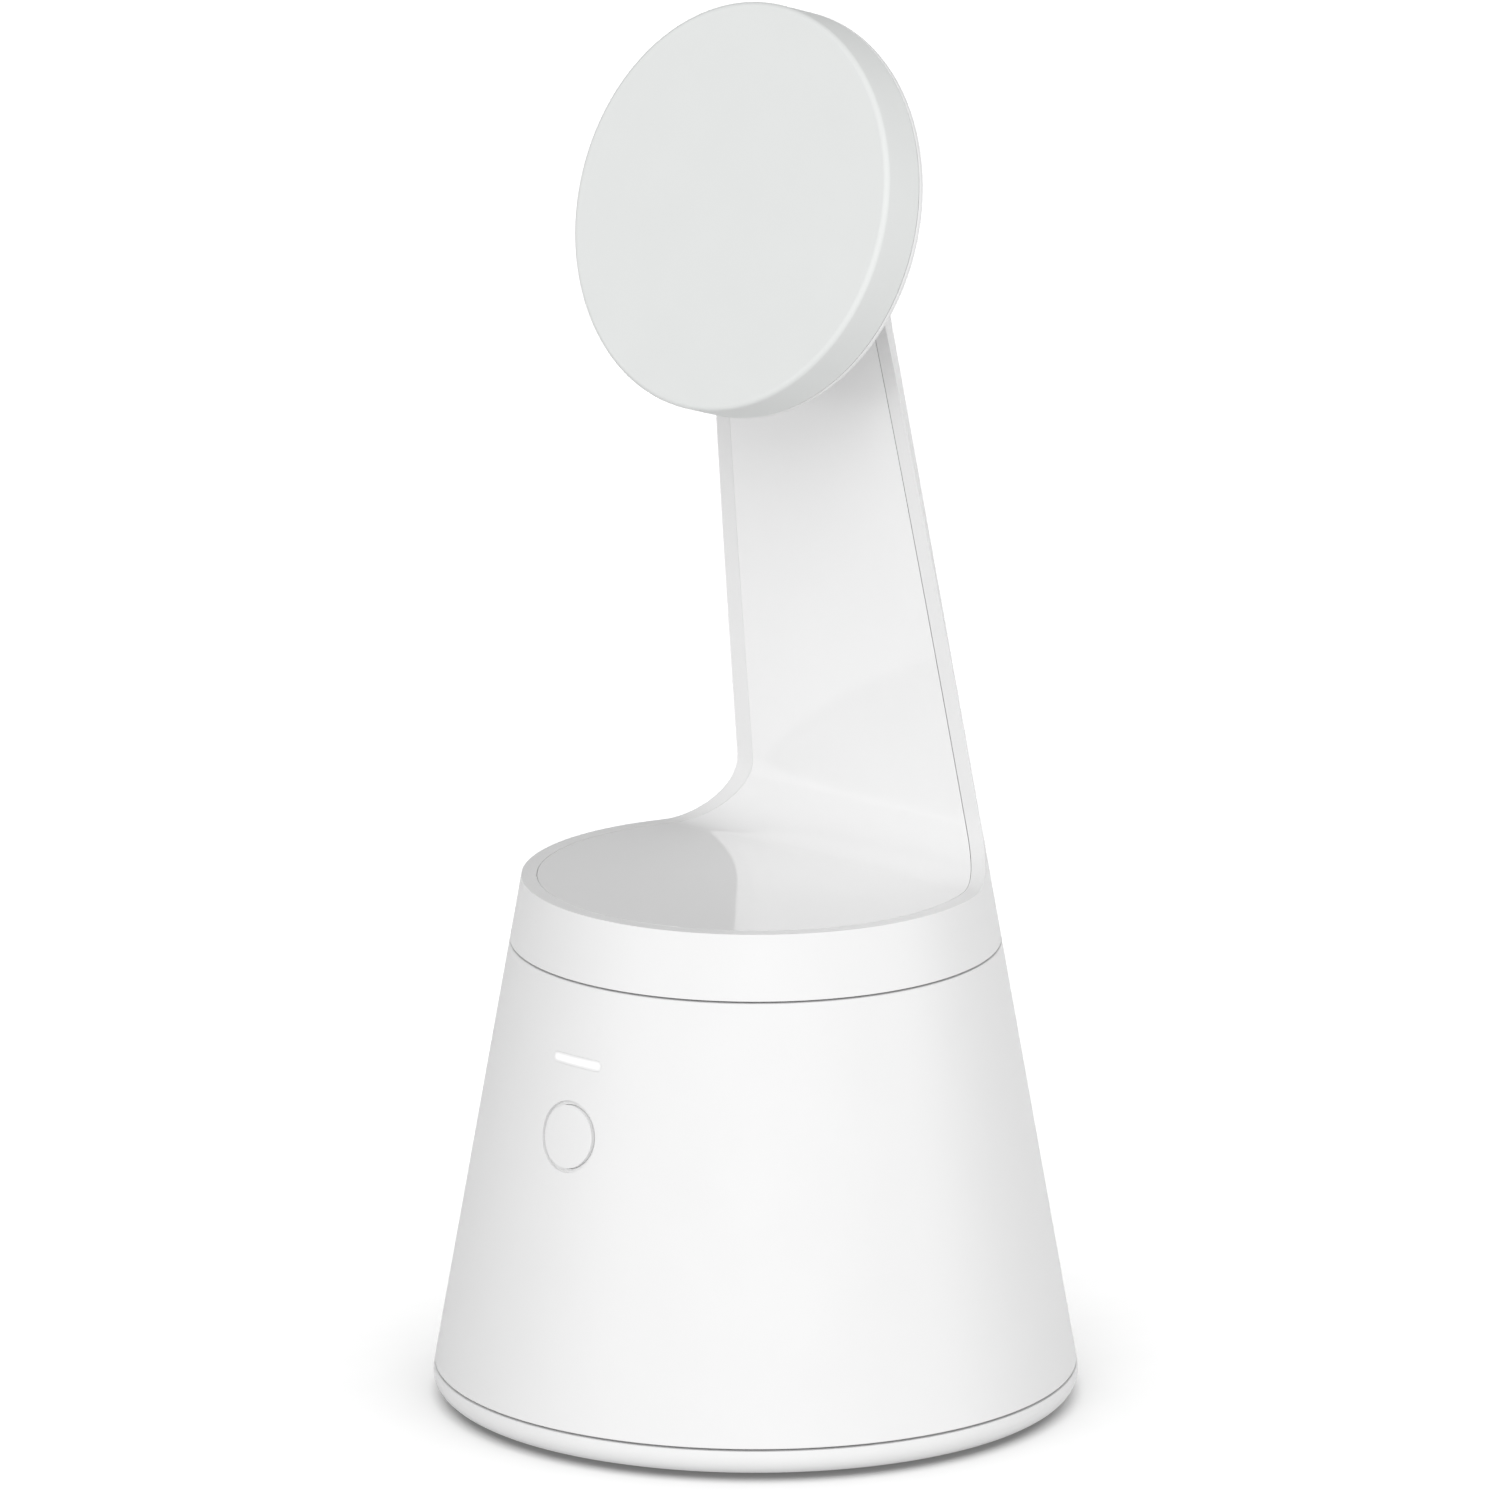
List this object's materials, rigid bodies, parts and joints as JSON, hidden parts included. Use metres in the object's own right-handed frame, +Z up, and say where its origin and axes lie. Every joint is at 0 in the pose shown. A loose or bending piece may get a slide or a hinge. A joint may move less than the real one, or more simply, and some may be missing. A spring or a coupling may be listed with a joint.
{
  "type": "motorised phone mount",
  "caption": "White tapered tabletop phone mount: motor-driven turntable, leaning arm and tilting magnetic disc, with a front button and status light.",
  "frame": {"origin": "centre of the underside, on the surface that it stands on", "axes": "+Z up along the turntable's axis, -Y to the front, where the button, the light and the disc face, +X to the right seen from the front"},
  "size_m": [0.09, 0.09, 0.1977],
  "materials": {
    "white_shell": "satin moulded",
    "gloss_liner": "gloss moulded",
    "pad_grey": "soft-touch",
    "light_lens": "diffusing",
    "rubber_foot": "matte",
    "dark_plastic": "moulded",
    "steel": "bright zinc",
    "brass": "brass",
    "nylon": "natural nylon",
    "circuit_board": "solder mask",
    "cell_wrap": "printed sleeve"
  },
  "bodies": {
    "base": {"rubber_foot_ring": "rubber_foot", "foot_plate": "white_shell", "battery_tray": "dark_plastic", "battery_cell_1": "cell_wrap", "battery_cell_2": "cell_wrap", "battery_cell_3": "cell_wrap", "battery_contact_left": "brass", "battery_contact_right": "brass", "foot_screw_1": "steel", "foot_screw_2": "steel", "foot_screw_3": "steel", "foot_screw_4": "steel", "ballast_plate": "steel", "base_shell": "white_shell", "power_inlet": "dark_plastic", "main_board": "circuit_board", "controller_chip": "dark_plastic", "board_screw_1": "steel", "board_screw_2": "steel", "board_screw_3": "steel", "status_light_lens": "light_lens", "tact_switch": "dark_plastic", "status_led": "light_lens", "front_board": "circuit_board", "gearbox": "steel", "drive_motor": "steel", "drive_chassis": "steel", "chassis_screw_1": "steel", "chassis_screw_2": "steel", "chassis_screw_3": "steel", "spindle_bushing": "brass"},
    "turntable": {"thrust_washer": "nylon", "spindle": "steel", "retaining_clip": "steel", "drive_gear": "nylon", "turntable_plate": "dark_plastic", "plate_screw_1": "steel", "plate_screw_2": "steel", "plate_screw_3": "steel", "arm_shell": "white_shell", "arm_liner": "gloss_liner", "arm_spine": "steel", "hinge_pin": "steel", "arm_fork": "white_shell"},
    "head": {"front_pad": "pad_grey", "disc_housing": "white_shell", "magnet_ring": "steel", "magnet_carrier": "nylon", "steel_yoke": "steel", "head_knuckle": "dark_plastic", "head_screw_1": "steel", "head_screw_2": "steel", "head_screw_3": "steel", "friction_washer_left": "nylon", "friction_washer_right": "nylon"},
    "power_button": {"power_button": "white_shell"},
    "motor_pinion": {"motor_pinion": "brass"},
    "battery_door": {"battery_door": "white_shell"}
  },
  "joints": [
    {"name": "turntable_spin", "type": "hinge", "parent": "base", "child": "turntable", "pos_m": [0, 0, 0.0655], "axis": [0, 0, 1], "continuous": true},
    {"name": "head_tilt", "type": "hinge", "parent": "turntable", "child": "head", "pos_m": [0, 0.01151, 0.1653], "axis": [-1, 0, 0], "range_deg": [-23, 12]},
    {"name": "motor_pinion_spin", "type": "hinge", "parent": "base", "child": "motor_pinion", "pos_m": [0.0219, 0, 0.0585], "axis": [0, 0, 1], "continuous": true},
    {"name": "power_button_press", "type": "slide", "parent": "base", "child": "power_button", "axis": [0, 0.9848, -0.1736], "range_m": [0, 0.0006], "stiffness_N_per_m": 900, "springref_m": -0.0006},
    {"name": "battery_door_hinge", "type": "hinge", "parent": "base", "child": "battery_door", "pos_m": [0, 0.0229, 0.0008], "axis": [1, 0, 0], "range_deg": [0, 95]}
  ],
  "couplings": [
    {"joint": "motor_pinion_spin", "follows": "turntable_spin", "ratio": -4.8}
  ]
}
